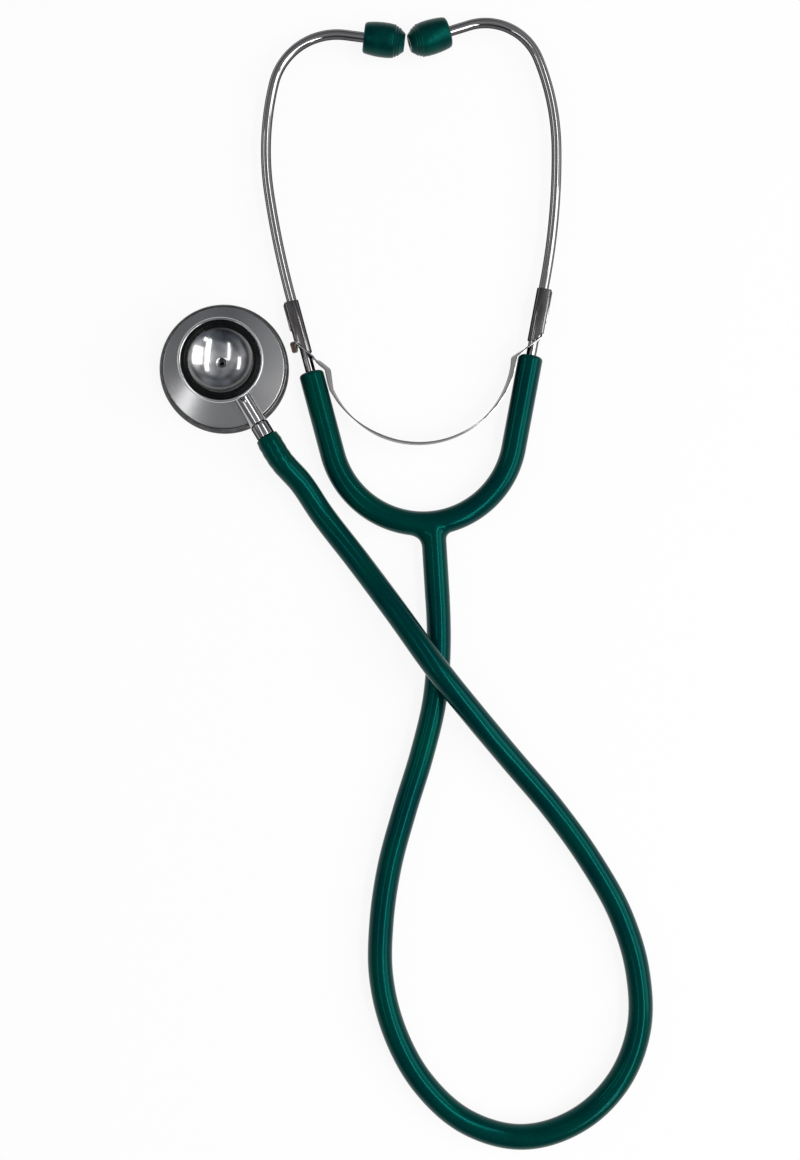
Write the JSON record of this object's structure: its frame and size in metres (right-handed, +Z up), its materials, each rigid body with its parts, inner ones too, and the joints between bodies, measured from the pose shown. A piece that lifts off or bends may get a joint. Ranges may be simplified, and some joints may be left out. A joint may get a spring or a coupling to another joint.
{
  "type": "dual-head stethoscope",
  "caption": "Dual-head stethoscope lying flat: rotating bell and diaphragm chest piece, single hose in one crossed loop, moulded yoke, leaf-sprung bent ear tubes and hard ear tips.",
  "frame": {"origin": "middle of the diaphragm's outer face, which lies on the table", "axes": "+Z up out of the bell, +Y from the hose towards the ear tips, +X to the right with the ear tips away from the viewer"},
  "size_m": [0.1813, 0.4184, 0.024],
  "materials": {
    "chrome": "polished chrome plate",
    "satin": "satin turned steel",
    "spring_steel": "nickel-plated spring steel",
    "green_tubing": "smooth dark green tubing",
    "green_tip": "glossy dark green plastic",
    "black_rubber": "satin black",
    "membrane": "pale resin with woven glass"
  },
  "bodies": {
    "root": {"yoke_tubing": "green_tubing", "hose": "green_tubing", "leaf_spring": "spring_steel", "left_spring_sleeve": "spring_steel", "stem": "chrome", "stem_seal": "black_rubber", "stem_clip": "spring_steel"},
    "head": {"chest_body": "satin", "bell_cup": "chrome", "bell_ring": "black_rubber", "diaphragm": "membrane", "diaphragm_washer": "black_rubber", "diaphragm_ring": "chrome", "detent_ball": "spring_steel", "detent_spring": "spring_steel", "detent_screw": "spring_steel"},
    "left_ear": {"left_ear_tube": "chrome", "left_ear_tip": "green_tip"},
    "right_arm": {"right_spring_sleeve": "spring_steel"},
    "right_ear": {"right_ear_tube": "chrome", "right_ear_tip": "green_tip"}
  },
  "joints": [
    {"name": "head_swivel", "type": "hinge", "parent": "root", "child": "head", "pos_m": [0, 0, 0.011], "axis": [0.5225, -0.8526, 0], "range_deg": [0, 180]},
    {"name": "left_ear_tube_twist", "type": "hinge", "parent": "root", "child": "left_ear", "pos_m": [0.03187, -0.00127, 0.00533], "axis": [-0.2588, 0.9659, 0.0084], "range_deg": [-25, 25]},
    {"name": "ear_tube_spread", "type": "hinge", "parent": "root", "child": "right_arm", "pos_m": [0.0891, -0.0205, 0.00516], "axis": [0, 0.0087, -1], "range_deg": [0, 45], "stiffness_Nm_per_rad": 0.35, "deforming": ["yoke_tubing", "leaf_spring"]},
    {"name": "right_ear_tube_twist", "type": "hinge", "parent": "right_arm", "child": "right_ear", "pos_m": [0.1135, 0.0054, 0.00538], "axis": [0.1857, 0.9826, 0.0085], "range_deg": [-25, 25]}
  ]
}
